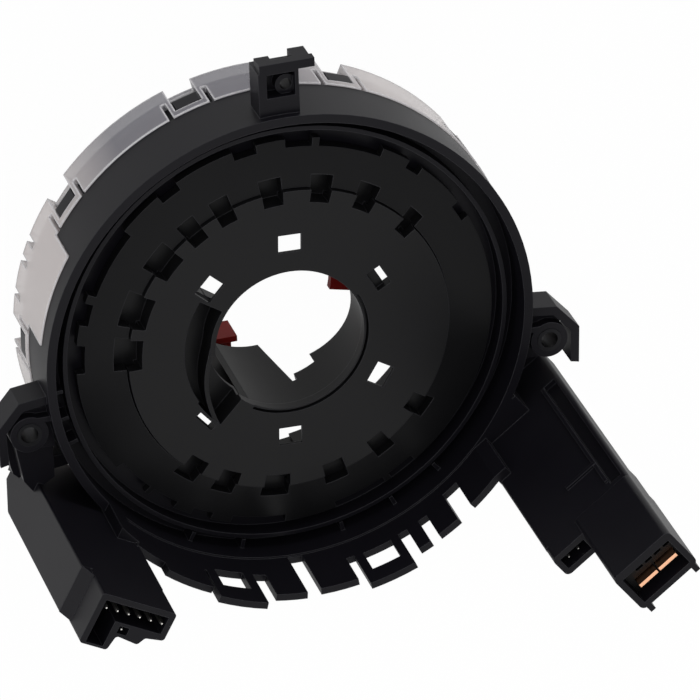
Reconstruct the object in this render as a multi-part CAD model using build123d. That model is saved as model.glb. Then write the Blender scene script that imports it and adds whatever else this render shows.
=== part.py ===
from build123d import *
from math import cos, degrees, hypot, radians, sin
import os

# Steering clock spring, in millimetres.
# +Z is the steering axis and points to the column side, the face with the two long sockets.
# The origin is the centre of the shaft bore on that face, and +Y runs to the top fixing ear.

# Bore and rotor
bore_radius = 15.9
hub_plate = 2.5
seam_gap = 0.25
flange_rim = 4.3
flange_web = 5.9
flange_plate = 2.0
flange_inner_drop = 0.9
flange_edge_drop = 3.1
drum_wall = 1.6
drum_depth = 21.6
drum_fit = 0.1
bearing_fit = 0.08
ledge_depth = 4.4
ledge_plate = 1.5
ledge_width = 3.8

# Housing
housing_radius = 51.7
housing_wall = 1.9
housing_rim_height = 1.6
housing_wall_depth = 12.5
groove_depth = 6.4
groove_width = 5.5
groove_floor = 1.3
floor_gap = 1.4
lip_step = 2.1
lip_wall = 0.9
lip_top = -2.3
groove_rib_angles = (-50.5, -64.0, -78.0, -103.5, -117.0, -161.0, -168.0, -175.5)

# Clear cover on the wheel side
cover_depth = 24.0
cover_plate = 1.4
cover_step = 0.3
cover_wall = 1.6
butt_gap = 0.1

# Snap loops of the cover and their noses on the housing
loop_count = 10
loop_first_angle = 106.8
loop_half_angle = 4.4
loop_bar = 1.9
slit_angle = 0.55
slit_depth = 6.5
nose_half_angle = 2.9
tongue_half_angle = 5.4
tongue_wall = 1.0
tongue_depth = 21.0

# Hub windows, bore sleeve and cable recess
window_step = 6.4
window_length = 4.9
window_width = 4.0
window_angles = (88.0, -32.0, -92.0, 137.5)
window_plate = 0.8
window_relief = 3.0
narrow_angle = 29.0
narrow_step = 7.05
narrow_width = 1.3
blind_width = 1.9
blind_depth = 1.5
slot_angle = -140.5
slot_step = 8.2
slot_width = 1.4
sleeve_step = 0.4
sleeve_wall = 1.4
sleeve_root = 10.9
sleeve_parts = ((-78.2, -58.0, 13.4), (-58.0, 28.0, 17.0))
sleeve_end = 28.0
sleeve_slope = (-0.21, -0.30, 1.0)
sleeve_slope_level = -14.5
tongue_tip_depth = 28.6
tongue_start = -121.0
tongue_end = -78.8
tongue_lean = 8.2
rim_lip = 0.4
rim_gap = 0.5
rim_gap_depth = 1.5
rim_drop = 0.3
recess_start = 146.0
recess_end = 227.0
recess_width = 6.5
recess_rim = 1.0
recess_depth = 5.6
recess_floor = 1.4
scroll_wall = 0.9
scroll_leave = 182.0

# Connector towers: the u axis runs along the pin rows, the v axis points outwards
left_turn = -28.9
left_inset = 4.1
left_u_low = -35.0
left_u_high = -16.2
left_depth = 9.8
left_lobe_depth = 11.1
left_lobe_u = -26.6
left_base = -18.0
left_step = 30.5
left_top = 40.6
left_step_in = 1.9
socket_wall = 1.3
left_floor = 27.0

right_turn = 37.2
right_inset = 0.7
right_u_low = 10.9
right_u_high = 33.7
right_depth = 5.6
right_base = -12.4
right_step = 42.4
right_top = 66.4
right_box_u = 19.0
right_box_depth = 10.2
right_small_top = 47.0
right_floor = 46.0
small_floor = 41.2
right_room_top = 28.0

# Contacts
pin_side = 0.64
pin_pitch = 2.54
left_pin_count = 6
left_pin_u = -30.8
left_pin_in = 3.1
left_pin_tip = 37.5
lone_pin_u = -25.4
lone_pin_in = 6.9
small_pin_u = 13.7
small_pin_in = 3.3
small_pin_tip = 42.0
blade_width = 4.6
blade_thick = 0.8
blade_first_u = 24.1
blade_pitch = 5.1
blade_in = 6.5
blade_tip = 64.6
contact_pitch = 2.4
contact_first_u = 24.1
contact_in = 3.6
blade_root = 32.0
contact_root = 32.0
contact_tip = 61.5
insert_top = 62.6
carrier_fit = 0.1
pin_seat = 6.0

# Lead frames: arms through the housing wall as u low, u high, reach inwards and outwards of the tower's inner
# face, z low, z high
left_arm_sizes = (-21.4, -17.8, 1.6, 2.4, -17.6, -9.2)
right_arm_sizes = (12.6, 15.8, 3.1, 2.0, -12.0, -8.6)
left_lead_u = -19.6
left_lead_level = -16.6
right_lead_level = -11.2
lead_pitch = 1.1

# Skirt of fingers between the towers: start angle, end angle, height, height of the slot after it
skirt_wall = 1.5
skirt_root = 2.0
fingers = ((-138.5, -129.8, 13.2, 13.2), (-129.8, -117.2, 16.3, 9.0), (-116.6, -104.4, 19.8, 8.2),
           (-101.2, -93.6, 16.4, 2.0), (-90.1, -80.9, 15.8, 7.3), (-78.9, -67.3, 18.8, 7.1),
           (-64.9, -61.6, 15.3, 6.9), (-59.2, -53.3, 15.0, 4.8), (-48.9, -40.2, 14.3, 2.0))
tab_angles = (-110.4, -73.1)
tab_window_half = 3.6
tab_window_low = 7.6
tab_window_high = 14.2

# Flat ribbon cables in the chamber, each with one U-turn round a roller
ribbon_thick = 0.18
ribbon_pitch = 0.35
ribbon_turns = 2
ribbon_steps = 36
ribbon_bands = ((-20.9, -15.1, 20.0), (-14.3, -8.5, 200.0))
inner_coil_gap = 0.35
outer_coil_gap = 0.45
roller_slack = 0.15
roller_pin = 1.2
roller_fit = 0.05
carrier_plate = 1.1
carrier_inner_gap = 2.2
carrier_outer_gap = 2.4
sheet_thick = 0.3
sheet_inner_gap = 1.7
sheet_outer_gap = 0.7
roller_top = -8.9


def ring(outer, inner, low, high):
    """Tube about the steering axis."""
    return Pos(0, 0, low) * extrude(Circle(outer) - Circle(inner), high - low)


def sector_face(inner, outer, start, end):
    """Flat annular sector between two angles."""
    middle = (start + end) / 2
    points = [(r * cos(radians(a)), r * sin(radians(a))) for r in (inner, outer) for a in (start, middle, end)]
    edges = [
        ThreePointArc(points[0], points[1], points[2]),
        Line(points[2], points[5]),
        ThreePointArc(points[5], points[4], points[3]),
        Line(points[3], points[0]),
    ]
    return make_face(Wire(edges))


def sector(inner, outer, start, end, low, high):
    return Pos(0, 0, low) * extrude(sector_face(inner, outer, start, end), high - low)


def block(turn, u_low, u_high, v_low, v_high, low, high):
    """Box in the u, v frame of a tower."""
    centre = Pos((u_low + u_high) / 2, -(v_low + v_high) / 2, (low + high) / 2)
    return Rot(0, 0, turn) * centre * Box(u_high - u_low, v_high - v_low, high - low)


def prism(turn, points, low, high, corner=0.0):
    """Upright prism over a u, v outline, its corners rounded."""
    face = make_face(Polyline(*[(u, -v) for u, v in points], close=True))
    if corner > 0:
        face = fillet(face.vertices(), corner)
    return Rot(0, 0, turn) * Pos(0, 0, low) * extrude(face, high - low)


def profile_bar(turn, points, u_low, u_high):
    """Bar along a pin row from a v, z outline."""
    face = make_face(Polyline(*[(-v, z) for v, z in points], close=True))
    return Rot(0, 0, turn) * Pos((u_low + u_high) / 2, 0, 0) * extrude(Plane.YZ * face, (u_high - u_low) / 2, both=True)


def polar(radius, angle, height=0.0):
    return Pos(radius * cos(radians(angle)), radius * sin(radians(angle)), height)


def revolved(points):
    """Solid of revolution about the steering axis from a radius, height outline."""
    outline = make_face(Polyline(*[(r, 0, z) for r, z in points], close=True))
    return revolve(outline, Axis.Z)


def slot_body(points, width, low, high):
    """Wall of even thickness that follows a smooth curve."""
    spine = Spline(*points)
    half = width / 2
    left = [spine.position_at(t / 12) for t in range(13)]
    normals = [spine.tangent_at(t / 12).rotate(Axis.Z, 90) for t in range(13)]
    one = [p + n * half for p, n in zip(left, normals)]
    other = [p - n * half for p, n in zip(left, normals)]
    edges = [Spline(*one), Line(one[-1], other[-1]), Spline(*other[::-1]), Line(other[0], one[0])]
    return Pos(0, 0, low) * extrude(make_face(Wire(edges)), high - low)


# Derived sizes
sleeve_bore = bore_radius + sleeve_step
cover_radius = housing_radius + cover_step
housing_bore = housing_radius - housing_wall
flange_edge_radius = housing_bore - groove_width
drum_radius = flange_edge_radius - flange_rim
hub_edge_radius = drum_radius - flange_web
ledge_inner = hub_edge_radius - ledge_width
floor_bore_radius = drum_radius + floor_gap
lip_radius = flange_edge_radius + lip_step
window_radius = bore_radius + window_step
narrow_radius = bore_radius + narrow_step
slot_radius = bore_radius + slot_step
recess_radius = bore_radius + recess_width
drum_bore = drum_radius - drum_wall
flange_bore = hub_edge_radius + seam_gap
ledge_radius = drum_bore - drum_fit
ledge_low = -ledge_depth - ledge_plate
flange_low = -flange_edge_drop - flange_plate
cover_bore_radius = drum_radius + bearing_fit
cover_bore = cover_radius - cover_wall
cover_top = -housing_wall_depth - butt_gap
loop_angles = [loop_first_angle - k * 360 / loop_count for k in range(loop_count) if k not in (4, 7)]
tongue_radius = cover_bore - butt_gap
chamber_radius = tongue_radius - tongue_wall
inner_coil = drum_radius + inner_coil_gap
outer_coil = chamber_radius - outer_coil_gap
carrier_inner = drum_radius + carrier_inner_gap
carrier_outer = chamber_radius - carrier_outer_gap
sheet_inner = drum_radius + sheet_inner_gap
sheet_outer = chamber_radius - sheet_outer_gap
chamber_top = -groove_depth - groove_floor
chamber_low = -cover_depth + cover_plate
carrier_low = chamber_low + sheet_thick
carrier_top = carrier_low + carrier_plate
inner_reach = inner_coil + ribbon_turns * ribbon_pitch
outer_reach = outer_coil - ribbon_turns * ribbon_pitch
roller_centre = (inner_reach + outer_reach) / 2
loop_bend = (outer_reach - inner_reach) / 2
roller_radius = loop_bend - ribbon_thick / 2 - roller_slack
left_inner_v = housing_radius - left_inset
left_outer_v = left_inner_v + left_depth
left_lobe_v = left_inner_v + left_lobe_depth
left_pin_v = left_inner_v + left_pin_in
lone_pin_v = left_inner_v + lone_pin_in
right_inner_v = housing_radius - right_inset
right_outer_v = right_inner_v + right_depth
right_box_v = right_inner_v + right_box_depth
small_pin_v = right_inner_v + small_pin_in
blade_v = right_inner_v + blade_in
contact_v = right_inner_v + contact_in

# Pockets along the seam of hub and flange: middle angle, width in degrees
seam_pockets = ((138.5, 10.5), (124.0, 6.5), (111.5, 6.5), (94.0, 7.5), (76.5, 7.5), (59.5, 7.5), (40.0, 6.0),
                (158.5, 12.5), (175.0, 12.0), (-130.0, 8.0), (-115.5, 7.5), (-97.0, 9.5), (-75.5, 8.0),
                (-57.0, 7.0), (-37.5, 7.5))
pocket_in = 2.8
pocket_out = 2.8

# Cut-outs in the outer edge of the flange: start, end
edge_notches = ((137.5, 157.5), (160.0, 166.5), (172.5, 181.0), (119.0, 125.0), (96.0, 102.5), (80.5, 88.0),
                (60.0, 78.5), (47.0, 51.5), (26.5, 32.0), (-120.0, -114.0), (-134.0, -125.5), (-108.0, -92.5),
                (-61.0, -53.0), (-78.0, -63.0), (-147.0, -135.5))
notch_depth = 1.7


def make_hub():
    """Hub plate with windows, bore sleeve, cable recess and the two wheel-side sockets."""
    hub = ring(hub_edge_radius, bore_radius, -hub_plate, 0)
    hub += ring(ledge_radius, ledge_inner, ledge_low, -ledge_depth)
    hub += ring(ledge_inner + 1.8, ledge_inner, ledge_low, -hub_plate)
    hub += sector(sleeve_bore, recess_radius + 0.8, recess_start - 1.9, recess_end + 3,
                  -recess_depth - recess_floor, -hub_plate)
    hub += make_sleeve()
    hub += make_socket_walls(socket_a) + make_socket_walls(socket_b)
    cuts = [Rot(0, 0, a) * Pos(window_radius, 0, 0) * Box(window_width, window_length, 16) for a in window_angles]
    for middle, width in seam_pockets:
        low, high = middle - width / 2, middle + width / 2
        cuts.append(sector(hub_edge_radius - pocket_in, hub_edge_radius + 1, low, high, -ledge_depth, 1))
    relief = Box(window_width + window_relief, window_length + window_relief, hub_plate)
    cuts += [Rot(0, 0, a) * Pos(window_radius, 0, -window_plate - hub_plate / 2) * relief for a in window_angles]
    cuts.append(Rot(0, 0, slot_angle) * Pos(slot_radius, 0, 0) * Box(slot_width, window_length, 16))
    cuts.append(Rot(0, 0, narrow_angle) * Pos(narrow_radius, 0, 0) * Box(narrow_width, window_length, 16))
    blind = Box(blind_width, window_length, 2 * blind_depth)
    cuts.append(Rot(0, 0, narrow_angle) * Pos(narrow_radius - (narrow_width + blind_width) / 2, 0, 0) * blind)
    cuts.append(make_recess())
    cuts.append(sector(bore_radius + rim_lip, bore_radius + rim_lip + rim_gap, tongue_start, sleeve_end,
                       -rim_gap_depth, 1))
    cuts.append(sector(bore_radius - 1, bore_radius + rim_lip + 0.1, tongue_start, sleeve_end, -rim_drop, 1))
    cuts.append(make_socket_room(socket_a))
    cuts.append(make_socket_room(socket_b))
    cuts.append(place(socket_a) * Pos(0.12, 4.4, -34.4) * Box(3.6, 1.6, 1.7))
    cuts.append(Pos(0, 0, -25) * Cylinder(bore_radius, 60))
    return hub - cuts - make_socket_pins(socket_a) - make_socket_pins(socket_b)


def make_sleeve():
    """Part sleeve below the bore with a stepped edge and a long tongue, one side of it leaning."""
    outer = sleeve_bore + sleeve_wall
    sleeve = sector(sleeve_bore, outer, tongue_start, sleeve_end, -sleeve_root, 0)
    for start, end, depth in sleeve_parts:
        sleeve += sector(sleeve_bore, outer, start, end, -depth, -sleeve_root)
    below = Plane(origin=(0, 0, sleeve_slope_level), z_dir=sleeve_slope) * Pos(0, 0, -15) * Box(80, 80, 30)
    sleeve -= below & sector(sleeve_bore - 1, outer + 1, sleeve_parts[1][0], sleeve_end + 1, -40, -2)
    sleeve += sector(sleeve_bore, outer, tongue_start, tongue_end, -tongue_tip_depth, -sleeve_root)
    lean = sleeve_bore * radians(tongue_lean)
    corner = make_face(Polyline((0, -sleeve_root), (-lean, -tongue_tip_depth - 0.1), (1, -tongue_tip_depth - 0.1),
                                (1, -sleeve_root), close=True))
    sleeve -= Rot(0, 0, tongue_end) * Pos(bore_radius - 1, 0, 0) * extrude(Plane.YZ * corner, 5)
    return sleeve


def make_recess():
    """Crescent beside the bore: the bore's rim leaves it as a scroll wall that guides the flat cable in."""
    pocket = sector(bore_radius + recess_rim, recess_radius, recess_start, recess_end, -recess_depth, 1)
    pocket += sector(recess_radius - 1, recess_radius + 0.4, 208.0, recess_end, -recess_depth, 1)
    pocket += sector(bore_radius - 1, bore_radius + recess_rim + 0.1, scroll_leave, recess_end, -recess_depth, 1)
    scroll = [(16.4, 172.0), (16.8, 181.0), (17.9, 191.0), (19.7, 204.0), (21.6, 217.0), (23.8, 229.0)]
    points = [(r * cos(radians(a)), r * sin(radians(a))) for r, a in scroll]
    wall = slot_body(points, scroll_wall, -recess_depth, -0.3)
    return pocket - wall


# Wheel-side sockets on the back of the hub: centre x, centre y, turn, size x, size y, depth
socket_a = (-8.5, -22.1, 0.0, 5.8, 9.0, 36.5)
socket_b = (18.0, 6.55, 20.0, 4.3, 12.0, 24.3)
turret_wall = 0.9
turret_floor = 12.0
turret_pin_root = 3.2
turret_pin_pitch = 1.8
turret_pin_count = 3
lock_hook_low = -40.8
lock_hook_top = -33.7


def place(socket):
    return Pos(socket[0], socket[1], 0) * Rot(0, 0, socket[2])


def make_socket_walls(socket):
    outer = extrude(RectangleRounded(socket[3], socket[4], 0.8), socket[5] - 1.0)
    return place(socket) * Pos(0, 0, -socket[5]) * outer


def make_socket_room(socket):
    inner = RectangleRounded(socket[3] - 2 * turret_wall, socket[4] - 2 * turret_wall, 0.4)
    return place(socket) * Pos(0, 0, -socket[5] - 1) * extrude(inner, socket[5] + 1 - turret_floor)


def make_socket_pins(socket):
    """Square pins from the terminal carrier under the hub plate into a wheel-side socket."""
    pins = []
    for k in range(turret_pin_count):
        shift = (k - (turret_pin_count - 1) / 2) * turret_pin_pitch - 0.6
        low = -socket[5] + 3.5
        body = Pos(0, shift, (low - turret_pin_root) / 2) * Box(pin_side, pin_side, -turret_pin_root - low)
        pins.append(place(socket) * body)
    return pins


def make_lock_slide_a():
    """Red lock over the mouth of the first socket, with its hooked wall on the bore side."""
    top = -socket_a[5] - 0.05
    plate = Pos(1.5, 1.3, top - 0.8) * Box(8.6, 9.2, 1.6)
    plate -= Pos(0, -0.3, top - 0.8) * Box(3.6, 6.4, 3)
    wall = Pos(2.35, 5.25, (lock_hook_low + lock_hook_top) / 2) * Box(8.1, 1.3, lock_hook_top - lock_hook_low)
    stem = Pos(1.1, 4.2, -34.4) * Box(1.4, 1.3, 1.5)
    head = Pos(1.1, 3.2, -34.4) * Box(1.4, 0.7, 2.9)
    return place(socket_a) * (plate + wall + stem + head)


def make_lock_slide_b():
    """Red lock over the mouth of the second socket, a curved plate with two legs."""
    top = -socket_b[5] - 0.05
    plate = sector(bore_radius + 0.3, 21.4, -13.5, 36.0, top - 1.8, top)
    slot = place(socket_b) * Pos(0.1, -0.3, top) * Box(2.0, 7.6, 5)
    legs = [place(socket_b) * Pos(-0.8, y, top + 2.0) * Box(0.7, 1.4, 4.2) for y in (-2.0, 2.9)]
    return plate - slot + legs[0] + legs[1]


# Terminal carrier of the rotor, under the hub plate, with an arm through the drum to the ribbons
rotor_carrier_width = 3.3
rotor_carrier_inner = ledge_inner - rotor_carrier_width
rotor_carrier_start = 26.0
rotor_carrier_end = 238.0
rotor_arm_angle = 128.0
rotor_arm_width = 4.0
rotor_arm_low = -20.4
strip_width = 0.7
strip_radii = (rotor_carrier_inner + 1.0, rotor_carrier_inner + 2.2)


def make_rotor_carrier():
    outer = ledge_inner - drum_fit
    body = sector(rotor_carrier_inner, outer, rotor_carrier_start, rotor_carrier_end, -hub_plate - 2.1, -hub_plate)
    low = rotor_arm_low
    turn = Rot(0, 0, rotor_arm_angle)
    drop = turn * Pos((rotor_carrier_inner + outer) / 2 + 0.4, 0, (low - hub_plate) / 2)
    body += drop * Box(outer - rotor_carrier_inner - 0.9, rotor_arm_width, -hub_plate - low)
    reach = drum_radius - 0.15
    arm = Pos((outer - 1 + reach) / 2, 0, (low + ledge_low - 0.4) / 2)
    body += turn * arm * Box(reach - outer + 1, rotor_arm_width, ledge_low - 0.4 - low)
    return body - make_rotor_strips()


def make_rotor_strips():
    """Copper strips let into the carrier, from one wheel-side socket to the other."""
    low = -hub_plate - 2.1
    return [sector(r, r + strip_width, rotor_carrier_start + 2, rotor_carrier_end - 2, low, low + 0.8)
            for r in strip_radii]


def make_flange():
    """Annular flange with its castellated edge, and the drum that the ribbons wind on."""
    outline = [(flange_bore, -flange_inner_drop), (flange_edge_radius, -flange_edge_drop),
               (flange_edge_radius, flange_low), (drum_radius, flange_low), (drum_radius, -drum_depth),
               (drum_bore, -drum_depth), (drum_bore, -ledge_depth), (flange_bore, -ledge_depth)]
    flange = revolved(outline)
    cuts = []
    for middle, width in seam_pockets:
        low, high = middle - width / 2, middle + width / 2
        cuts.append(sector(flange_bore - 1, hub_edge_radius + pocket_out, low, high, -ledge_depth - 1, 1))
    for start, end in edge_notches:
        cuts.append(sector(flange_edge_radius - notch_depth, flange_edge_radius + 1, start, end, flange_low - 1, 0))
    arm = Pos(drum_radius, 0, (rotor_arm_low + ledge_low) / 2) * Box(8, rotor_arm_width + 0.1, ledge_low - rotor_arm_low)
    cuts.append(Rot(0, 0, rotor_arm_angle) * arm)
    return flange - cuts


def make_retaining_ring():
    """Ring snapped into the wheel end of the drum, which holds the rotor in the clear cover."""
    sleeve_out = drum_bore - drum_fit
    plate_top = -cover_depth - 0.3
    plate_low = plate_top - 1.4
    body = ring(drum_radius + 3.0, sleeve_out - 1.4, plate_low, plate_top)
    body += ring(drum_radius, sleeve_out - 1.4, plate_top, -drum_depth - 0.02)
    for k in range(6):
        middle = k * 60 + 48
        body += sector(sleeve_out - 1.4, sleeve_out, middle - 9, middle + 9, -drum_depth - 0.02, -drum_depth + 5.0)
    return body


def make_housing():
    """Outer wall, grooved rim, ears, finger skirt and connector towers, one moulding."""
    body = ring(housing_radius, housing_bore, -housing_wall_depth, housing_rim_height)
    body += ring(housing_bore, floor_bore_radius, chamber_top, -groove_depth)
    body += ring(lip_radius + lip_wall, lip_radius, -groove_depth, lip_top)
    for angle in groove_rib_angles:
        rib = Box(2.4, 0.8, groove_depth - 2.4)
        body += Rot(0, 0, angle) * Pos(housing_bore - 0.9, 0, (-groove_depth - 2.4) / 2) * rib
    for angle in loop_angles:
        body += sector(tongue_radius - tongue_wall, tongue_radius, angle - tongue_half_angle,
                       angle + tongue_half_angle, -tongue_depth, -housing_wall_depth + 1.5)
        body += make_nose(angle)
    body -= sector(housing_bore - 2, housing_radius + 1, tab_start, tab_end, -housing_wall_depth - 1, tab_top)
    body += sector(housing_bore - 0.6, cover_bore - butt_gap, tab_start, tab_end, -housing_wall_depth, tab_top + 1)
    body += make_skirt()
    body += make_top_ear()
    body += make_side_ear(1)
    body += make_side_ear(-1)
    gusset = ear_face(-1, [(-1.7, -14.5), (6.1, -15.5), (4.8, -24), (2.8, -27), (-1.7, -24)])
    body += Pos(0, 0, -12) * extrude(gusset, 8)
    body += make_left_tower()
    body += make_right_tower()
    return body - carrier_arm(left_turn, left_arm, 0.05) - carrier_arm(right_turn, right_arm, 0.05)


def make_nose(angle):
    """Ramped nose that a cover loop snaps over."""
    half = nose_half_angle
    low = -tongue_depth + 1.6
    high = cover_top - loop_bar - 0.2
    nose = sector(tongue_radius - 0.3, cover_radius, angle - half, angle + half, low, high)
    ramp = Rot(0, 0, angle) * Pos(cover_radius + 0.2, 0, low) * Rot(0, 28, 0) * Box(1.6, 9, 6)
    return nose - ramp


# Wide front tab of the clear cover on the left side
tab_start = 149.0
tab_end = 172.0
tab_top = -3.0
edge_slits = (156.4, 161.3, 169.7, 183.6)
edge_slit_half = 0.8
edge_slit_height = 4.0


def make_cover():
    """Clear cap with its castellated skirt and snap loops."""
    cover = ring(cover_radius, cover_bore_radius, -cover_depth, chamber_low)
    cover += ring(cover_radius, cover_bore, -cover_depth, cover_top)
    cover += ring(cover_bore_radius + 1.4, cover_bore_radius, chamber_low - 0.5, chamber_low + 1.2)
    cover += sector(cover_bore, cover_radius, tab_start + 0.2, tab_end - 0.2, cover_top - 1, tab_top - 0.1)
    cuts = []
    for angle in loop_angles:
        half = nose_half_angle + 0.35
        cuts.append(sector(cover_bore - 0.6, cover_radius + 3, angle - half, angle + half, -cover_depth - 1,
                           cover_top - loop_bar))
        for side in (-1, 1):
            slit = angle + side * (loop_half_angle + slit_angle)
            cuts.append(sector(cover_bore - 0.6, cover_radius + 3, slit - slit_angle, slit + slit_angle,
                               cover_top - slit_depth, cover_top + 12))
    for angle in edge_slits:
        cuts.append(sector(cover_bore - 0.6, cover_radius + 1, angle - edge_slit_half, angle + edge_slit_half,
                           -cover_depth - 1, -cover_depth + edge_slit_height))
    for turn, u_low, u_high in ((left_turn, left_u_low, left_u_high), (right_turn, right_u_low, right_u_high)):
        cuts.append(block(turn, u_low - 0.3, u_high + 0.3, cover_bore - 10.4, cover_radius + 18,
                          cover_top - slit_depth, 0))
    return cover - cuts


def make_skirt():
    skirt_bore = housing_radius - skirt_wall
    body = sector(skirt_bore, housing_radius, fingers[0][0], fingers[-1][1], housing_rim_height - 1, skirt_root)
    for start, end, height, floor in fingers:
        body += sector(skirt_bore, housing_radius, start, end, housing_rim_height - 1, height)
    for one, other in zip(fingers, fingers[1:]):
        body += sector(skirt_bore, housing_radius, one[1] - 0.2, other[0] + 0.2, skirt_root - 0.1, one[3])
    for angle in tab_angles:
        body -= sector(skirt_bore - 2, housing_radius + 2, angle - tab_window_half, angle + tab_window_half,
                       tab_window_low, tab_window_high)
    return body


# Fixing ears
ear_reach = 3.9
ear_x = housing_radius + ear_reach
ear_y = -10.9
ear_boss = 4.0
ear_bush = 2.6
ear_depth = 7.0
ear_rib = 1.8
ear_web = 2.0
top_x = 1.7
top_reach = 5.9
top_y = housing_radius + top_reach
top_hole = 1.25
top_boss = 2.2
top_boss_height = -1.4
top_stem_length = 9.5
top_bar_width = 1.9
top_bar_y = housing_radius + top_stem_length
top_stem_depth = 6.4
bush_wall = 0.8


def ear_face(side, points):
    """Flat outline beside the housing from distances beyond its wall, and y."""
    return make_face(Polyline(*[(side * (housing_radius + x), y) for x, y in points], close=True))


def make_side_ear(side):
    """Boss with a bent guard rib round it; side is 1 on the right, -1 on the left."""
    outer = [(-0.7, -2.6), (5.7, -3.4), (10.5, -9.0), (10.3, -17.4)]
    inner = [(8.5, -17.0), (8.7, -9.8), (4.9, -5.3), (-0.7, -4.5)]
    plate = [(-1.3, -4.0), (4.5, -4.6), (6.1, -6.6), (5.1, -15.2), (-1.7, -15.8)]
    guard = ear_face(side, outer + inner)
    web = ear_face(side, plate)
    body = Pos(0, 0, -ear_depth) * extrude(guard, ear_depth)
    body += Pos(0, 0, -ear_depth * 0.6) * extrude(web, ear_web)
    body += Pos(side * ear_x, ear_y, -ear_depth / 2) * Cylinder(ear_boss, ear_depth)
    body += Pos(side * (housing_radius + 1.7), -8.0, -ear_depth / 2) * Box(8.0, 1.2, ear_depth)
    return body - Pos(side * ear_x, ear_y, -ear_depth / 2) * Cylinder(ear_bush, ear_depth + 2)


def make_top_ear():
    """Stem with a sunk boss, cross bar and back lugs of the top fixing."""
    root = housing_radius - 1.4
    bar_y = top_bar_y + top_bar_width / 2
    stem = Pos(-0.1, (root + top_bar_y) / 2, -top_stem_depth / 2) * Box(8.4, top_bar_y - root, top_stem_depth)
    stem -= Pos(0.35, top_y + 0.6, -1.3) * Box(5.9, 5.2, 4.6)
    stem += Pos(top_x, top_y, (top_boss_height - top_stem_depth) / 2) * Cylinder(top_boss, top_stem_depth + top_boss_height)
    ear = stem + Pos(1.75, bar_y, -1.0) * Box(11.5, top_bar_width, 2.0)
    for middle, width, depth in ((-2.5, 3.0, 4.0), (2.4, 2.6, 2.2), (5.2, 3.4, 5.8)):
        ear += Pos(middle, bar_y, -depth / 2) * Box(width, top_bar_width, depth)
    ear += Pos(0.3, top_bar_y - 0.6, -4.9) * Box(6.0, 1.2, 3.0)
    return ear - Pos(top_x, top_y, -4) * Cylinder(top_hole, 12)


def left_mouth():
    """u, v outline of the left socket near its mouth, with the keying lobe."""
    u0 = left_u_low + left_step_in
    v0 = left_inner_v
    return [(u0, v0), (left_u_high, v0), (left_u_high, v0 + 6.4), (-20.2, v0 + 7.0), (-21.2, v0 + 8.8),
            (-26.2, v0 + 8.2), (-26.8, v0 + 11.7), (u0, v0 + 11.7)]


def make_left_tower():
    base = [(left_u_low, left_inner_v), (left_u_high, left_inner_v), (left_u_high, left_outer_v - 1.6),
            (left_lobe_u + 0.4, left_outer_v - 0.6), (left_lobe_u - 0.4, left_lobe_v), (left_u_low, left_lobe_v)]
    tower = prism(left_turn, base, left_base, left_step, 0.4)
    tower += prism(left_turn, left_mouth(), left_step - 6, left_top, 0.7)
    tower += block(left_turn, left_u_high - 5, left_u_high, left_inner_v - 3, left_inner_v + 4, -8, 12)
    u0, u1 = left_u_low + left_step_in, left_u_high
    w = socket_wall
    cuts = [Pos(0, 0, left_base - 1) * Cylinder(housing_bore, 2 * abs(left_base) + 60)]
    cuts.append(block(left_turn, u0 + w, u1 - w, left_inner_v + w, left_inner_v + 5.2, left_floor, left_top + 1))
    cuts.append(block(left_turn, u0 + w, u0 + 5.2, left_inner_v + w, left_inner_v + 11.2, left_floor, left_top + 1))
    cuts.append(block(left_turn, lone_pin_u - 1.1, lone_pin_u + 1.1, left_inner_v + 5.9, left_inner_v + 7.6,
                      left_floor, left_top + 1))
    cuts.append(left_cavity(0, left_base - 1))
    slant_in, slant_out = left_inner_v + 7.0, left_inner_v + 11.8
    slant = [(slant_in, left_base - 0.1), (slant_out, -8.6), (slant_out, left_base - 0.1)]
    cuts.append(profile_bar(left_turn, slant, left_u_low - 1, left_u_high + 1.2))
    return tower - cuts - make_left_pins() - make_lone_pin()


def left_cavity(fit, low):
    """Room for the terminal carrier, open at the wheel end of the tower."""
    return block(left_turn, left_u_low + 2.0 + fit, left_u_high - 1.2 - fit, left_inner_v + 2.0 + fit,
                 left_outer_v - 3.0 - fit, low, left_floor - pin_seat - fit)


def arm_box(sizes, inner_v):
    """Arm of a terminal carrier as u low, u high, v low, v high, z low, z high."""
    u_low, u_high, inwards, outwards, low, high = sizes
    return u_low, u_high, inner_v - inwards, inner_v + outwards, low, high


left_arm = arm_box(left_arm_sizes, left_inner_v)
right_arm = arm_box(right_arm_sizes, right_inner_v)


def carrier_arm(turn, arm, fit):
    """Arm of a terminal carrier that reaches through the housing wall to the ribbon."""
    u_low, u_high, v_low, v_high, low, high = arm
    return block(turn, u_low - fit, u_high + fit, v_low - fit, v_high, low - fit, high + fit)


def make_left_carrier():
    body = left_cavity(carrier_fit, left_base)
    body += carrier_arm(left_turn, left_arm, 0)
    return body - make_left_pins() - make_lone_pin()


def make_right_carrier():
    body = right_cavity(carrier_fit, right_base)
    body += carrier_arm(right_turn, right_arm, 0)
    return body - make_small_pins() - make_blades() - make_contacts()


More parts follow.
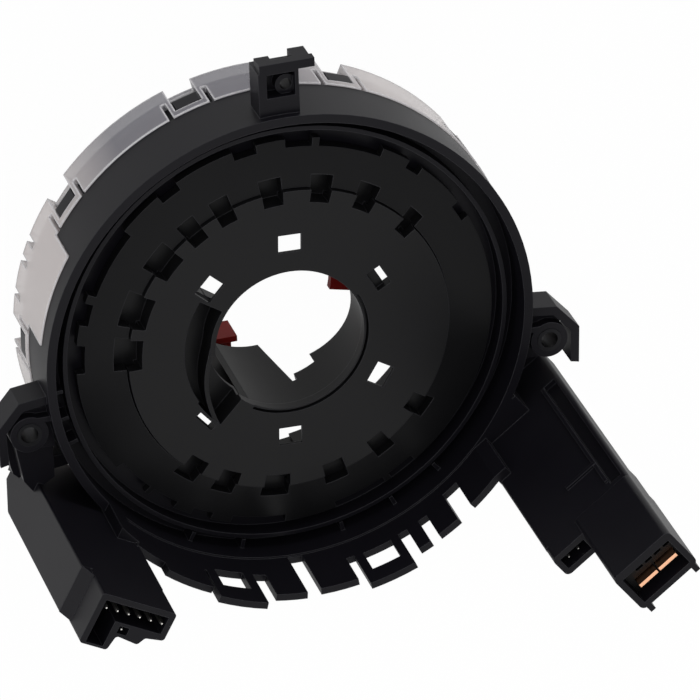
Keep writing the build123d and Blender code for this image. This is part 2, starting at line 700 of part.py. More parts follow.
def make_right_tower():
    w = socket_wall
    tower = prism(right_turn, [(right_u_low, right_inner_v), (right_u_high, right_inner_v),
                               (right_u_high, right_outer_v), (right_u_low, right_outer_v)], right_base, right_step, 0.8)
    tower += prism(right_turn, [(right_u_low, right_inner_v), (right_box_u + 1, right_inner_v),
                                (right_box_u + 1, right_outer_v), (right_u_low, right_outer_v)],
                   right_step - 4, right_small_top, 1.2)
    tower += prism(right_turn, [(right_box_u, right_inner_v - 0.5), (right_u_high, right_inner_v - 0.5),
                                (right_u_high, right_box_v), (right_box_u, right_box_v)], right_step, right_top, 1.3)
    tower += prism(right_turn, [(right_box_u, right_outer_v - 2), (right_u_high, right_outer_v - 2),
                                (right_u_high, right_outer_v + 1.8), (right_box_u, right_outer_v + 1.8)],
                   right_step - 8, right_step + 1)
    for u in (right_box_u + 0.9, right_u_high - 1.9):
        tower += block(right_turn, u, u + 1.2, right_box_v - 0.5, right_box_v + 1.6, right_top - 9, right_top)
    tower += block(right_turn, 24.0, right_u_high - 1, right_inner_v - 4.5, right_inner_v + 1, right_base,
                   right_base + 1.2)
    tower += block(right_turn, right_u_low, 24.5, right_inner_v - 5, right_inner_v + 1, right_base, housing_rim_height)
    tower += block(right_turn, right_u_low, 14.0, right_inner_v - 2, right_inner_v + 1, 0, fingers[-1][2])
    cuts = [Pos(0, 0, right_base - 1) * Cylinder(housing_bore, 2 * abs(right_base) + 90)]
    cuts.append(block(right_turn, 29.7, right_u_high - 1.2, right_inner_v - 1, right_inner_v + 1.2, -1.0, 40.5))
    cuts.append(block(right_turn, right_box_u + w, right_u_high - w, right_inner_v + w, right_box_v - w,
                      right_floor, right_top + 1))
    cuts.append(block(right_turn, right_u_low + w, right_box_u - 0.6, right_inner_v + w, right_outer_v - w,
                      small_floor, right_small_top + 1))
    cuts.append(right_cavity(0, right_base - 1))
    tower -= cuts
    tower += block(right_turn, 21.7, 29.8, right_inner_v - 0.6, right_inner_v + 0.3, 31.6, 32.5)
    tower += block(right_turn, 28.9, 29.7, right_inner_v - 0.5, right_inner_v + 1, 0.0, 39.5)
    return tower - make_small_pins() - make_blades() - make_contacts()


def right_cavity(fit, low):
    """Room for the terminal carrier, open at the wheel end of the tower."""
    return block(right_turn, right_u_low + 1.4 + fit, right_u_high - 5.3 - fit, right_inner_v + 1.4 + fit,
                 right_outer_v - 1.2 - fit, low, right_room_top - fit)


def pin(turn, u, v, low, high, width=pin_side, thick=pin_side):
    return block(turn, u - width / 2, u + width / 2, v - thick / 2, v + thick / 2, low, high)


def bent_lead(turn, u, v, tip, level, end_u, end_v, side=pin_side):
    """Contact that runs down its tower, along it and in through the wall to the ribbon."""
    half = side / 2
    down = pin(turn, u, v, level - half, tip, side, side)
    across = block(turn, min(u, end_u) - half, max(u, end_u) + half, v - half, v + half, level - half, level + half)
    inward = block(turn, end_u - half, end_u + half, end_v, v + half, level - half, level + half)
    return down + across + inward


def make_left_pins():
    leads = []
    for k in range(left_pin_count):
        u = left_pin_u + k * pin_pitch
        leads.append(bent_lead(left_turn, u, left_pin_v, left_pin_tip, left_lead_level + k * lead_pitch,
                               left_lead_u, left_arm[2]))
    return leads


def make_lone_pin():
    level = left_lead_level + left_pin_count * lead_pitch
    return [bent_lead(left_turn, lone_pin_u, lone_pin_v, left_pin_tip, level, left_lead_u, left_arm[2])]


def make_small_pins():
    leads = []
    for k in range(2):
        u = small_pin_u + k * pin_pitch
        leads.append(bent_lead(right_turn, u, small_pin_v, small_pin_tip, right_lead_level + k * 1.4,
                               right_arm[0] + 1.6, right_arm[2]))
    return leads


def make_blades():
    return [pin(right_turn, blade_first_u + k * blade_pitch, blade_v, blade_root, blade_tip, blade_width, blade_thick)
            for k in range(2)]


def make_contacts():
    return [pin(right_turn, contact_first_u + k * contact_pitch, contact_v, contact_root, contact_tip)
            for k in range(4)]


def make_insert():
    """Block at the bottom of the larger right socket, with slots round its contacts."""
    w = socket_wall + carrier_fit
    body = block(right_turn, right_box_u + w, right_u_high - w, right_inner_v + w, right_box_v - w,
                 right_floor, insert_top)
    cuts = []
    for k in range(2):
        cuts.append(pin(right_turn, blade_first_u + k * blade_pitch, blade_v, insert_top - 7, insert_top + 1,
                        blade_width + 0.3, blade_thick + 0.6))
    for k in range(4):
        cuts.append(pin(right_turn, contact_first_u + k * contact_pitch, contact_v, insert_top - 7, insert_top + 1,
                        1.7, 2.1))
    return body - cuts - make_blades() - make_contacts()


def make_ribbon(low, high, turn):
    """Flat cable: inner winding on the drum, U-turn round the roller, outer winding in the housing."""
    centre = []
    total = ribbon_turns * ribbon_steps
    for k in range(total + 1):
        centre.append((inner_coil + ribbon_pitch * k / ribbon_steps, turn + (k - total) * 360 / ribbon_steps))
    points = [(r * cos(radians(a)), r * sin(radians(a)), a + 90) for r, a in centre]
    for k in range(1, 8):
        bend = 180 - k * 22.5
        angle = radians(turn + bend)
        middle_x, middle_y = roller_centre * cos(radians(turn)), roller_centre * sin(radians(turn))
        points.append((middle_x + loop_bend * cos(angle), middle_y + loop_bend * sin(angle), turn + bend - 90))
    for k in range(total + 1):
        r, a = outer_reach + ribbon_pitch * k / ribbon_steps, turn - k * 360 / ribbon_steps
        points.append((r * cos(radians(a)), r * sin(radians(a)), a - 90))
    half = ribbon_thick / 2
    left = [(x - half * sin(radians(h)), y + half * cos(radians(h))) for x, y, h in points]
    right = [(x + half * sin(radians(h)), y - half * cos(radians(h))) for x, y, h in points]
    return Pos(0, 0, low) * extrude(make_face(Polyline(*left, *right[::-1], close=True)), high - low)


def make_roller_carrier():
    body = ring(carrier_outer, carrier_inner, carrier_low, carrier_top)
    for band in ribbon_bands:
        spot = polar(roller_centre, band[2], (carrier_top + roller_top) / 2)
        body += spot * Cylinder(roller_pin, roller_top - carrier_top + 0.4)
    return body


def make_roller(turn):
    tube = Cylinder(roller_radius, roller_top - carrier_top - 0.2) - Cylinder(roller_pin + roller_fit, 30)
    return polar(roller_centre, turn, (carrier_top + roller_top) / 2) * tube


def make_bush(side):
    tube = Cylinder(ear_bush - 0.03, ear_depth + 0.2) - Cylinder(ear_bush - bush_wall, ear_depth + 2)
    return Pos(side * ear_x, ear_y, -ear_depth / 2) * tube


def group(shapes):
    return Compound(children=[s for shape in shapes for s in shape.solids()])


lower_sheet = ring(sheet_outer, sheet_inner, chamber_low, carrier_low)
upper_sheet = ring(sheet_outer, sheet_inner, chamber_top - sheet_thick, chamber_top)

os.makedirs("parts", exist_ok=True)
nodes = {
    "stator_housing": make_housing(),
    "clear_cover": make_cover(),
    "left_pin_row": group(make_left_pins()),
    "left_lone_pin": group(make_lone_pin()),
    "left_terminal_carrier": make_left_carrier(),
    "right_pin_pair": group(make_small_pins()),
    "right_blades": group(make_blades()),
    "right_contacts": group(make_contacts()),
    "right_socket_insert": make_insert(),
    "right_terminal_carrier": make_right_carrier(),
    "ear_bushes": group([make_bush(1), make_bush(-1)]),
    "upper_glide_sheet": upper_sheet,
    "lower_glide_sheet": lower_sheet,
    "signal_ribbon": make_ribbon(*ribbon_bands[0]),
    "power_ribbon": make_ribbon(*ribbon_bands[1]),
    "roller_carrier": make_roller_carrier(),
    "roller_one": make_roller(ribbon_bands[0][2]),
    "roller_two": make_roller(ribbon_bands[1][2]),
    "rotor_hub": make_hub(),
    "rotor_flange": make_flange(),
    "retaining_ring": make_retaining_ring(),
    "rotor_terminal_carrier": make_rotor_carrier(),
    "rotor_strips": group(make_rotor_strips()),
    "wheel_pins_one": group(make_socket_pins(socket_a)),
    "wheel_pins_two": group(make_socket_pins(socket_b)),
    "lock_slide_one": make_lock_slide_a(),
    "lock_slide_two": make_lock_slide_b(),
}
for name, shape in nodes.items():
    export_step(shape, "parts/" + name + ".step")
    print(name, len(shape.solids()), round(shape.volume, 1))
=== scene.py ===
import bpy
import numpy as np
from mathutils import Matrix, Vector


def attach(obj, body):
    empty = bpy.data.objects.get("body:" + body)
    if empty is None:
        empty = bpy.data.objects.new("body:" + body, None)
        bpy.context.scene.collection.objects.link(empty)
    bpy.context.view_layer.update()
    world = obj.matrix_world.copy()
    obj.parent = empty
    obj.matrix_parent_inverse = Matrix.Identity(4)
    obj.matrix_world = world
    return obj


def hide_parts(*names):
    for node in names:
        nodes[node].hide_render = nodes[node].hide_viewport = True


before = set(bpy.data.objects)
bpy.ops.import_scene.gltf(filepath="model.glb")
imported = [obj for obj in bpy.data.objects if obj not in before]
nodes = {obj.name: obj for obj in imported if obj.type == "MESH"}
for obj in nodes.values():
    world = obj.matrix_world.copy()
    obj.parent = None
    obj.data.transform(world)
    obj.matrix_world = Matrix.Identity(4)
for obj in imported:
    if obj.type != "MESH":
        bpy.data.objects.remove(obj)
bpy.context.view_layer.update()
scene = bpy.context.scene
print("stage: frame loaded,", len(nodes), "nodes")


def toLinear(code):
    # an sRGB hex colour becomes linear RGBA
    parts = [int(code[k:k + 2], 16) / 255 for k in (1, 3, 5)]
    return [p / 12.92 if p <= 0.04045 else ((p + 0.055) / 1.055) ** 2.4 for p in parts] + [1.0]


def addNode(material, kind, settings=None, links=None):
    # settings hold node properties or socket values, links hold socket names and where they come from
    node = material.node_tree.nodes.new(kind)
    for key, value in (settings or {}).items():
        if isinstance(key, str) and hasattr(node, key):
            setattr(node, key, value)
        else:
            node.inputs[key].default_value = value
    for key, source in (links or {}).items():
        material.node_tree.links.new(source, node.inputs[key])
    return node


def newMaterial(name):
    material = bpy.data.materials.new(name)
    material.use_nodes = True
    material.node_tree.nodes.clear()
    return material


def finishMaterial(material, shader):
    output = material.node_tree.nodes.new("ShaderNodeOutputMaterial")
    material.node_tree.links.new(shader.outputs[0], output.inputs["Surface"])
    return material


# camera at the photograph's viewing angle
cameraSet = {
    "placeMm": (-287.5, 598.3, 1026.3),
    "right": (0.95392, -0.03282, 0.2982),
    "up": (0.17393, 0.87040, -0.4606),
    "lensMm": 308.57,
    "sensorMm": 36.0,
    "clipM": (0.05, 20.0),
}
cameraData = bpy.data.cameras.new("camera")
cameraData.lens, cameraData.sensor_width = cameraSet["lensMm"], cameraSet["sensorMm"]
cameraData.clip_start, cameraData.clip_end = cameraSet["clipM"]
camera = bpy.data.objects.new("camera", cameraData)
scene.collection.objects.link(camera)
right = Vector(cameraSet["right"]).normalized()
up = Vector(cameraSet["up"])
up = (up - right * up.dot(right)).normalized()
turn = Matrix((right, up, right.cross(up))).transposed()
camera.matrix_world = Matrix.Translation(Vector(cameraSet["placeMm"]) / 1000) @ turn.to_4x4()
scene.camera = camera
print("stage: camera placed")

# pale floor, soft world light and five large softboxes: place, aim and size in millimetres, then watts
studioSet = {
    "floorMm": -41.0,
    "floorHalfM": 3.0,
    "floorColour": "#f4f4f4",
    "backdropShare": 0.98,
    "glossShare": 0.5,
    "worldStrength": 0.38,
    "lamps": {
        "faceSoftbox": ((320, -640, 1090), (0, 0, 0), (900, 900), 2.2),
        "keySoftbox": ((-300, 500, 900), (0, 0, 0), (600, 500), 3.0),
        "leftStrip": ((-950, -60, 160), (0, 0, 0), (300, 800), 2.2),
        "topRightStrip": ((560, 800, 120), (0, 0, 0), (800, 300), 3.0),
        "lowFill": ((-100, -800, 300), (0, 0, 20), (900, 400), 1.5),
    },
}


def buildStudio():
    mesh = bpy.data.meshes.new("floor")
    half, z = studioSet["floorHalfM"], studioSet["floorMm"] / 1000
    mesh.from_pydata([(-half, -half, z), (half, -half, z), (half, half, z), (-half, half, z)], [], [(0, 1, 2, 3)])
    floor = bpy.data.objects.new("floor", mesh)
    scene.collection.objects.link(floor)
    material = newMaterial("paintedFloor")  # the camera, clear plastic and, at half strength, gloss see it as white
    path = addNode(material, "ShaderNodeLightPath")
    tree = material.node_tree
    seen = addNode(material, "ShaderNodeMath", {"operation": "MAXIMUM"},
                   {0: path.outputs["Is Camera Ray"], 1: path.outputs["Is Transmission Ray"]})
    gloss = addNode(material, "ShaderNodeMath", {"operation": "MULTIPLY", 1: studioSet["glossShare"]},
                    {0: path.outputs["Is Glossy Ray"]})
    seen = addNode(material, "ShaderNodeMath", {"operation": "MAXIMUM"}, {0: seen.outputs[0], 1: gloss.outputs[0]})
    share = addNode(material, "ShaderNodeMath", {"operation": "MULTIPLY", 1: studioSet["backdropShare"]},
                    {0: seen.outputs[0]})
    paint = addNode(material, "ShaderNodeBsdfDiffuse", {"Color": toLinear(studioSet["floorColour"])})
    white = addNode(material, "ShaderNodeEmission", {"Color": (1, 1, 1, 1), "Strength": 1.0})
    mixed = addNode(material, "ShaderNodeMixShader", None, {0: share.outputs[0]})
    tree.links.new(paint.outputs[0], mixed.inputs[1])
    tree.links.new(white.outputs[0], mixed.inputs[2])
    finishMaterial(material, mixed)
    mesh.materials.append(material)


def buildWorld():
    world = bpy.data.worlds.new("studioWorld")
    scene.world = world
    world.use_nodes = True
    background = world.node_tree.nodes["Background"]
    background.inputs["Color"].default_value = (1, 1, 1, 1)
    background.inputs["Strength"].default_value = studioSet["worldStrength"]


def addLamp(name, placeMm, aimMm, sizeMm, watts):
    data = bpy.data.lights.new(name, "AREA")
    data.shape = "RECTANGLE"
    data.size, data.size_y = sizeMm[0] / 1000, sizeMm[1] / 1000
    data.energy = watts
    lamp = bpy.data.objects.new(name, data)
    scene.collection.objects.link(lamp)
    place, aim = Vector(placeMm) / 1000, Vector(aimMm) / 1000
    lamp.matrix_world = Matrix.Translation(place) @ (place - aim).to_track_quat("Z", "Y").to_matrix().to_4x4()


buildStudio()
buildWorld()
for name, lampSet in studioSet["lamps"].items():
    addLamp(name, *lampSet)
scene.view_settings.view_transform = "Standard"
print("stage: studio ready")


def mouldedPlastic(name, plasticSet):
    # injection-moulded resin: a fine spark-eroded grain, flow marks that shift its tone and roughness, and edges
    # that are rounded by the mould, with a lighter colour painted along them, partly as wear and partly as a painted
    # highlight
    material = newMaterial(name)
    place = addNode(material, "ShaderNodeTexCoord").outputs["Object"]
    grain = addNode(material, "ShaderNodeTexNoise", {"Scale": 1000 / plasticSet["grainMm"], "Detail": 3.0},
                    {"Vector": place})
    flow = addNode(material, "ShaderNodeTexNoise",
                   {"Scale": 1000 / plasticSet["flowMm"], "Detail": 4.0, "Roughness": 0.55}, {"Vector": place})
    colour = addNode(material, "ShaderNodeMix", {"data_type": "RGBA", 6: toLinear(plasticSet["dark"]),
                                                 7: toLinear(plasticSet["light"])}, {0: flow.outputs["Fac"]})
    low, high = plasticSet["rough"]
    rough = addNode(material, "ShaderNodeMapRange", {"To Min": low, "To Max": high}, {"Value": flow.outputs["Fac"]})
    edge = addNode(material, "ShaderNodeBevel", {"samples": 6, "Radius": plasticSet["edgeMm"] / 1000})
    flat = addNode(material, "ShaderNodeNewGeometry")
    along = addNode(material, "ShaderNodeVectorMath", {"operation": "DOT_PRODUCT"},
                    {0: edge.outputs[0], 1: flat.outputs["True Normal"]})
    # edges painted lighter: partly wear, partly a painted highlight standing in for the light the edges catch
    wearAndHighlight = addNode(material, "ShaderNodeMapRange", {"From Min": 0.98, "From Max": 0.8, "To Max": plasticSet["wearAndHighlight"]},
                   {"Value": along.outputs["Value"]})
    colour = addNode(material, "ShaderNodeMix", {"data_type": "RGBA", 7: toLinear(plasticSet["edge"])},
                     {0: wearAndHighlight.outputs[0], 6: colour.outputs[2]})
    bump = addNode(material, "ShaderNodeBump", {"Strength": 0.25, "Distance": plasticSet["bumpMm"] / 1000},
                   {"Height": grain.outputs["Fac"], "Normal": edge.outputs[0]})
    shader = addNode(material, "ShaderNodeBsdfPrincipled", {"IOR": 1.55, "Specular IOR Level": plasticSet["gloss"]}, {
        "Base Color": colour.outputs[2], "Roughness": rough.outputs[0], "Normal": bump.outputs[0]})
    return finishMaterial(material, shader)


# glass-filled PBT of the housing: satin black with a cold tinge, its corners painted grey, partly as wear and partly
# as a painted highlight
housingPbt = mouldedPlastic("blackMouldedPbt", {
    "dark": "#0e0d12", "light": "#151419", "edge": "#4b4b50", "grainMm": 0.35, "flowMm": 22.0, "rough": (0.34, 0.48),
    "bumpMm": 0.03, "gloss": 0.12, "edgeMm": 0.25, "wearAndHighlight": 0.6})
# POM of the rotor: a neutral black, a little smoother than the housing
rotorPom = mouldedPlastic("blackMouldedPom", {
    "dark": "#0f0f10", "light": "#151517", "edge": "#4b4b50", "grainMm": 0.4, "flowMm": 18.0, "rough": (0.34, 0.46),
    "bumpMm": 0.02, "gloss": 0.15, "edgeMm": 0.25, "wearAndHighlight": 0.6})
# PBT of the inserts and terminal carriers, deep in the sockets: duller and darker
carrierPbt = mouldedPlastic("blackCarrierPbt", {
    "dark": "#0c0c0d", "light": "#121213", "edge": "#4b4b50", "grainMm": 0.4, "flowMm": 12.0, "rough": (0.4, 0.55),
    "bumpMm": 0.02, "gloss": 0.15, "edgeMm": 0.15, "wearAndHighlight": 0.5})
# PBT coloured through in a deep red, for the two lock slides
lockPbt = mouldedPlastic("redMouldedPbt", {
    "dark": "#6f1210", "light": "#841914", "edge": "#a8342a", "grainMm": 0.3, "flowMm": 9.0, "rough": (0.4, 0.55),
    "bumpMm": 0.02, "gloss": 0.15, "edgeMm": 0.2, "wearAndHighlight": 0.4})
# uncoloured POM with film and cable insulation of the same grey, inside the chamber
carrierPom = mouldedPlastic("greyMouldedPom", {
    "dark": "#77757a", "light": "#87858a", "edge": "#a5a3a8", "grainMm": 0.3, "flowMm": 15.0, "rough": (0.35, 0.5),
    "bumpMm": 0.02, "gloss": 0.4, "edgeMm": 0.1, "wearAndHighlight": 0.3})


# clear polycarbonate of the cover, body and edge opacity apart. The painted side light, a paler colour standing in
# for light falling on the two sides, runs between the two x places of each pair
clearSet = {"body": "#7c7a82", "paintedSideLight": "#dbd3d2", "edge": "#e4e2e5", "waveMm": 14.0, "rough": (0.1, 0.26),
            "edgeMm": 1.0, "bodyAlpha": 0.7, "edgeAlpha": 0.95, "paintedSideLightMm": ((-30.0, -44.0), (2.0, 26.0)),
            "bumpMm": 0.2}


def clearPlastic():
    # injection-moulded and clear: glossy skin, faint flow waves, edges painted paler and more opaque as a painted
    # highlight, and a paler colour painted towards the two sides as painted light
    material = newMaterial("clearMouldedPolycarbonate")
    place = addNode(material, "ShaderNodeTexCoord").outputs["Object"]
    wave = addNode(material, "ShaderNodeTexNoise", {"Scale": 1000 / clearSet["waveMm"], "Detail": 3.0},
                   {"Vector": place})
    low, high = clearSet["rough"]
    rough = addNode(material, "ShaderNodeMapRange", {"To Min": low, "To Max": high}, {"Value": wave.outputs["Fac"]})
    split = addNode(material, "ShaderNodeSeparateXYZ", None, {"Vector": place})
    # painted light: the cover is painted paler towards both sides, standing in for the light that falls there
    sides = [addNode(material, "ShaderNodeMapRange", {"From Min": first / 1000, "From Max": last / 1000},
                     {"Value": split.outputs["X"]}) for first, last in clearSet["paintedSideLightMm"]]
    paintedSideLight = addNode(material, "ShaderNodeMath", {"operation": "MAXIMUM"},
                    {0: sides[0].outputs[0], 1: sides[1].outputs[0]})
    body = addNode(material, "ShaderNodeMix", {"data_type": "RGBA", 6: toLinear(clearSet["body"]),
                                               7: toLinear(clearSet["paintedSideLight"])}, {0: paintedSideLight.outputs[0]})
    edge = addNode(material, "ShaderNodeBevel", {"samples": 8, "Radius": clearSet["edgeMm"] / 1000})
    flat = addNode(material, "ShaderNodeNewGeometry")
    along = addNode(material, "ShaderNodeVectorMath", {"operation": "DOT_PRODUCT"},
                    {0: edge.outputs[0], 1: flat.outputs["True Normal"]})
    # painted highlight: the edges are painted paler and more opaque, standing in for the light they gather
    rim = addNode(material, "ShaderNodeMapRange", {"From Min": 0.99, "From Max": 0.85},
                  {"Value": along.outputs["Value"]})
    colour = addNode(material, "ShaderNodeMix", {"data_type": "RGBA", 7: toLinear(clearSet["edge"])},
                     {0: rim.outputs[0], 6: body.outputs[2]})
    alpha = addNode(material, "ShaderNodeMapRange",
                    {"To Min": clearSet["bodyAlpha"], "To Max": clearSet["edgeAlpha"]}, {"Value": rim.outputs[0]})
    bump = addNode(material, "ShaderNodeBump", {"Strength": 0.2, "Distance": clearSet["bumpMm"] / 1000},
                   {"Height": wave.outputs["Fac"], "Normal": edge.outputs[0]})
    shader = addNode(material, "ShaderNodeBsdfPrincipled", {"IOR": 1.585}, {
        "Base Color": colour.outputs[2], "Roughness": rough.outputs[0], "Alpha": alpha.outputs[0],
        "Normal": bump.outputs[0]})
    return finishMaterial(material, shader)


def stampedMetal(name, metalSet):
    # stamped strip or drawn wire: fine draw lines along Z, stretched by lineStretch, a soft mirror between them
    material = newMaterial(name)
    place = addNode(material, "ShaderNodeTexCoord").outputs["Object"]
    mapped = addNode(material, "ShaderNodeMapping", {"Scale": (1, 1, metalSet["lineStretch"])}, {"Vector": place})
    lines = addNode(material, "ShaderNodeTexNoise", {"Scale": 1000 / metalSet["lineMm"], "Detail": 2.0},
                    {"Vector": mapped.outputs[0]})
    low, high = metalSet["rough"]
    rough = addNode(material, "ShaderNodeMapRange", {"To Min": low, "To Max": high}, {"Value": lines.outputs["Fac"]})
    bump = addNode(material, "ShaderNodeBump", {"Strength": 0.15, "Distance": metalSet["bumpMm"] / 1000},
                   {"Height": lines.outputs["Fac"]})
    shader = addNode(material, "ShaderNodeBsdfPrincipled",
                     {"Metallic": 1.0, "Base Color": toLinear(metalSet["colour"])},
                     {"Roughness": rough.outputs[0], "Normal": bump.outputs[0]})
    return finishMaterial(material, shader)


clearPc = clearPlastic()
# tin plating on the pins: a warm white metal that shows as bright dots in the sockets
tinnedBrass = stampedMetal("tinnedBrassStrip", {
    "colour": "#e4e2dc", "lineMm": 0.15, "lineStretch": 0.08, "rough": (0.25, 0.4), "bumpMm": 0.02})
# bare copper alloy of the blades, a light salmon colour
copperAlloy = stampedMetal("copperAlloyStrip", {
    "colour": "#f6bd98", "lineMm": 0.15, "lineStretch": 0.08, "rough": (0.25, 0.4), "bumpMm": 0.02})
# phosphated steel of the ear bushes: dark and dull
darkSteel = stampedMetal("phosphatedSteel", {
    "colour": "#2c2c2e", "lineMm": 0.2, "lineStretch": 0.08, "rough": (0.4, 0.55), "bumpMm": 0.02})
print("stage: materials made")

finishes = {
    "stator_housing": housingPbt, "clear_cover": clearPc, "left_pin_row": tinnedBrass, "left_lone_pin": tinnedBrass,
    "left_terminal_carrier": carrierPbt, "right_pin_pair": tinnedBrass, "right_blades": copperAlloy,
    "right_contacts": copperAlloy, "right_socket_insert": carrierPbt, "right_terminal_carrier": carrierPbt,
    "ear_bushes": darkSteel, "upper_glide_sheet": carrierPom, "lower_glide_sheet": carrierPom,
    "signal_ribbon": carrierPom, "power_ribbon": carrierPom, "roller_carrier": carrierPom,
    "roller_one": carrierPom, "roller_two": carrierPom, "rotor_hub": rotorPom, "rotor_flange": rotorPom,
    "retaining_ring": rotorPom, "rotor_terminal_carrier": carrierPbt, "rotor_strips": copperAlloy,
    "wheel_pins_one": tinnedBrass, "wheel_pins_two": tinnedBrass, "lock_slide_one": lockPbt,
    "lock_slide_two": lockPbt,
}
for name, material in finishes.items():
    piece = nodes[name]
    piece.data.materials.clear()
    piece.data.materials.append(material)


def addPiece(name, points, faces, material, body, slot):
    # points are in millimetres. The signed volume is the sum over fans of triangles, and where it comes out
    # negative the faces run inwards and are turned round
    points = np.asarray(points, float)
    fans = np.array([(face[0], face[k], face[k + 1]) for face in faces for k in range(1, len(face) - 1)])
    first, second, third = points[fans].transpose(1, 0, 2)
    volume = float((first * np.cross(second, third)).sum() / 6)
    turned = [face if volume > 0 else face[::-1] for face in faces]
    mesh = bpy.data.meshes.new(name)
    mesh.from_pydata((points / 1000).tolist(), [], [list(map(int, face)) for face in turned])
    mesh.materials.append(material)
    piece = bpy.data.objects.new(name, mesh)
    scene.collection.objects.link(piece)
    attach(piece, body)
    print("stage:", name, "built,", round(abs(volume), 1), "cubic mm")
    return piece


def carryOutline(outline, steps, scales=None):
    # a closed outline of n points, moved by each step in turn: point k of ring j is the outline's middle, plus
    # outline k seen from that middle times scale j, plus step j. Side faces join ring to ring, both ends are closed
    outline, steps = np.asarray(outline, float), np.asarray(steps, float)
    scales = np.ones(len(steps)) if scales is None else np.asarray(scales, float)
    middle = outline.mean(axis=0)
    points = (middle + (outline - middle)[None, :, :] * scales[:, None, None] + steps[:, None, :]).reshape(-1, 3)
    count, rings = len(outline), len(steps)
    k, j = np.meshgrid(np.arange(count), np.arange(rings - 1))
    start, after = (j * count + k).ravel(), (j * count + (k + 1) % count).ravel()
    faces = np.stack([start, after, after + count, start + count], axis=1).tolist()
    faces.append(list(range(count))[::-1])
    faces.append(list(range((rings - 1) * count, rings * count)))
    return points, faces


def raiseOutline(pieceSet):
    # the set's flat outline at its bottom height, carried straight up to its top height
    outline = [(x, y, pieceSet["bottom"]) for x, y in pieceSet["outline"]]
    return carryOutline(outline, [(0, 0, 0), (0, 0, pieceSet["top"] - pieceSet["bottom"])])


# block that ties the left tower to the wall beside the left ear
earBlockSet = {"outline": ((-52.6, -20.9), (-53.65, -24.76), (-46.0, -23.6), (-45.8, -20.9)), "bottom": -18.0,
               "top": -7.0, "edgeMm": 0.3, "edgeSteps": 2}


def buildEarBlock():
    block = addPiece("ear_block", *raiseOutline(earBlockSet), housingPbt, "stator", "black_housing")
    bevel = block.modifiers.new("edge", "BEVEL")
    bevel.width, bevel.segments = earBlockSet["edgeMm"] / 1000, earBlockSet["edgeSteps"]


# slanted gusset outside that block, whose outer face catches the light
gussetSet = {"face": ((-54.6, -17.6, -7.0), (-54.6, -23.6, -18.0), (-56.4, -29.5, -19.0), (-54.6, -26.5, -8.6)),
             "thick": 3.2}


def buildGusset():
    points, faces = carryOutline(gussetSet["face"], [(0, 0, 0), (gussetSet["thick"], 0, 0)])
    addPiece("ear_gusset", points, faces, housingPbt, "stator", "black_housing")


# web that closes the corner between the ear's fence, its boss and the gusset
earWebSet = {"outline": ((-59.1, -14.1), (-58.7, -18.6), (-58.3, -22.0), (-57.8, -24.1), (-56.6, -25.3),
                         (-54.2, -23.9), (-54.7, -19.0), (-56.6, -14.4)),
             "bottom": -12.0, "top": -8.0}


def buildEarWeb():
    addPiece("ear_web", *raiseOutline(earWebSet), housingPbt, "stator", "black_housing")


# slope on the outer corner of the left tower, under its upper stage: outer and inner width, back and front depth
towerSlopeSet = {"turnDeg": -28.9, "outer": -35.0, "inner": -33.1, "low": 30.5, "high": 33.5, "back": 47.6,
                 "front": 58.6}


def buildTowerSlope():
    # a triangle in the tower's own width and height, carried along its depth
    s = towerSlopeSet
    turn = np.radians(s["turnDeg"])
    wide, deep = np.array([np.cos(turn), np.sin(turn), 0]), np.array([np.sin(turn), -np.cos(turn), 0])
    corners = [(s["outer"], s["low"]), (s["inner"], s["low"]), (s["inner"], s["high"])]
    outline = [u * wide + s["front"] * deep + np.array([0, 0, z]) for u, z in corners]
    points, faces = carryOutline(outline, [(0, 0, 0), (s["back"] - s["front"]) * deep])
    addPiece("tower_slope", points, faces, housingPbt, "stator", "black_housing")


def turnProfile(profile, startDeg, sweepDeg, count):
    # a closed profile of radius and height pairs, clockwise, carried round Z: point k at turn t is
    # (r cos t, r sin t, z). A full turn closes on itself, a part turn gets an end face at each end
    r, z = np.asarray(profile, float).T
    whole = abs(sweepDeg) >= 360
    turns = np.radians(startDeg + sweepDeg * np.arange(count if whole else count + 1) / count)
    points = np.stack([np.outer(np.cos(turns), r), np.outer(np.sin(turns), r),
                       np.broadcast_to(z, (len(turns), len(z)))], axis=2).reshape(-1, 3)
    k, j = np.meshgrid(np.arange(len(r)), np.arange(count))
    after, on = (k + 1) % len(r), (j + 1) % len(turns)
    faces = np.stack([j * len(r) + k, j * len(r) + after, on * len(r) + after, on * len(r) + k],
                     axis=2).reshape(-1, 4).tolist()
    if not whole:
        faces.append(list(range(len(r)))[::-1])
        faces.append([(len(turns) - 1) * len(r) + k for k in range(len(r))])
    return points, faces


def joinParts(parts):
    # several closed parts in one mesh, their point numbers moved on
    points, faces, first = [], [], 0
    for partPoints, partFaces in parts:
        points.append(partPoints)
        faces += [[first + number for number in face] for face in partFaces]
        first += len(partPoints)
    return np.concatenate(points), faces


# ring snapped into the wheel end of the rotor drum, clear of the windows in the disc
ringSet = {"bore": 38.45, "drum": 40.0, "rim": 43.0, "low": -25.7, "plateTop": -24.3, "sleeveTop": -21.62,
           "fingerBore": 37.7, "fingerOut": 38.3, "fingerTop": -16.6, "fingerDeg": 18.0, "fingers": 6,
           "firstDeg": 39.0, "foot": 38.55, "ringSteps": 144, "fingerSteps": 8}


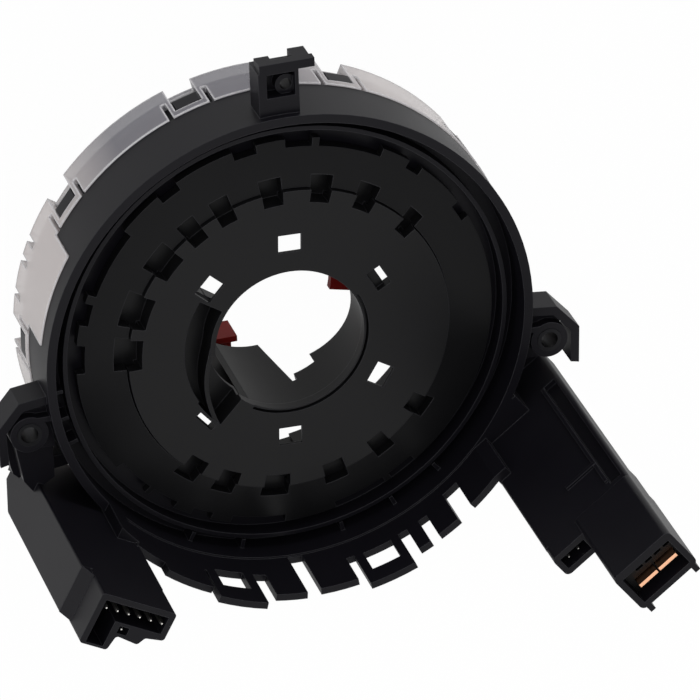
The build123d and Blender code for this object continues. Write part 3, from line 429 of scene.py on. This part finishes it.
def buildRetainingRing():
    s = ringSet
    body = turnProfile([(s["bore"], s["low"]), (s["bore"], s["sleeveTop"]), (s["drum"], s["sleeveTop"]),
                        (s["drum"], s["plateTop"]), (s["rim"], s["plateTop"]), (s["rim"], s["low"])],
                       0, 360, s["ringSteps"])
    parts = [body]
    for k in range(s["fingers"]):
        start = s["firstDeg"] + k * 360 / s["fingers"]
        parts.append(turnProfile([(s["fingerBore"], s["low"]), (s["fingerBore"], s["fingerTop"]),
                                  (s["fingerOut"], s["fingerTop"]), (s["fingerOut"], s["plateTop"]),
                                  (s["foot"], s["plateTop"]), (s["foot"], s["low"])],
                                 start, s["fingerDeg"], s["fingerSteps"]))
    ring = addPiece("open_retaining_ring", *joinParts(parts), rotorPom, "rotor", "black_rotor")
    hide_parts("retaining_ring")


# the pins' own ends: square wire, tapered by a coining die, standing on the pins of the nodes.
# A row has its node, the turn of its tower and how far its tips rise above the node's
pinEndSet = {"sideMm": 0.64, "rootMm": 1.0, "taperMm": 0.5, "rootShare": 1.02, "tipShare": 0.45,
             "levelMm": 0.01, "groupMm": 1.5,
             "rows": {"left_pin_ends": ("left_pin_row", -28.9, 2.7), "lone_pin_end": ("left_lone_pin", -28.9, 2.2),
                      "right_pin_ends": ("right_pin_pair", 37.2, 3.4)}}


def pinTops(node):
    # the middle of each group of top points that lie closer to each other than the group size
    mesh = nodes[node].data
    flat = np.empty(len(mesh.vertices) * 3)
    mesh.vertices.foreach_get("co", flat)
    points = flat.reshape(-1, 3) * 1000
    left, tops = points[points[:, 2] > points[:, 2].max() - pinEndSet["levelMm"]], []
    while len(left):
        near = np.linalg.norm(left - left[0], axis=1) < pinEndSet["groupMm"]
        tops.append((left[near].min(axis=0) + left[near].max(axis=0)) / 2)
        left = left[~near]
    return tops


def buildPinEnds(name):
    # a square turned with its tower, carried up to the taper and shrunk to the tip, once for each pin
    s = pinEndSet
    node, turnDeg, rise = s["rows"][name]
    corner = np.radians(turnDeg + 45 + 90 * np.arange(4))
    square = np.stack([np.cos(corner), np.sin(corner), np.zeros(4)], axis=1) * s["sideMm"] / 2 ** 0.5
    steps = [(0, 0, -s["rootMm"]), (0, 0, rise - s["taperMm"]), (0, 0, rise)]
    scales = (s["rootShare"], s["rootShare"], s["tipShare"])
    parts = [carryOutline(square + top, steps, scales) for top in pinTops(node)]
    addPiece(name, *joinParts(parts), tinnedBrass, "stator", "tinned_contact")


buildEarBlock()
buildGusset()
buildEarWeb()
buildTowerSlope()
buildRetainingRing()
for name in pinEndSet["rows"]:
    buildPinEnds(name)
print("stage: own pieces built")
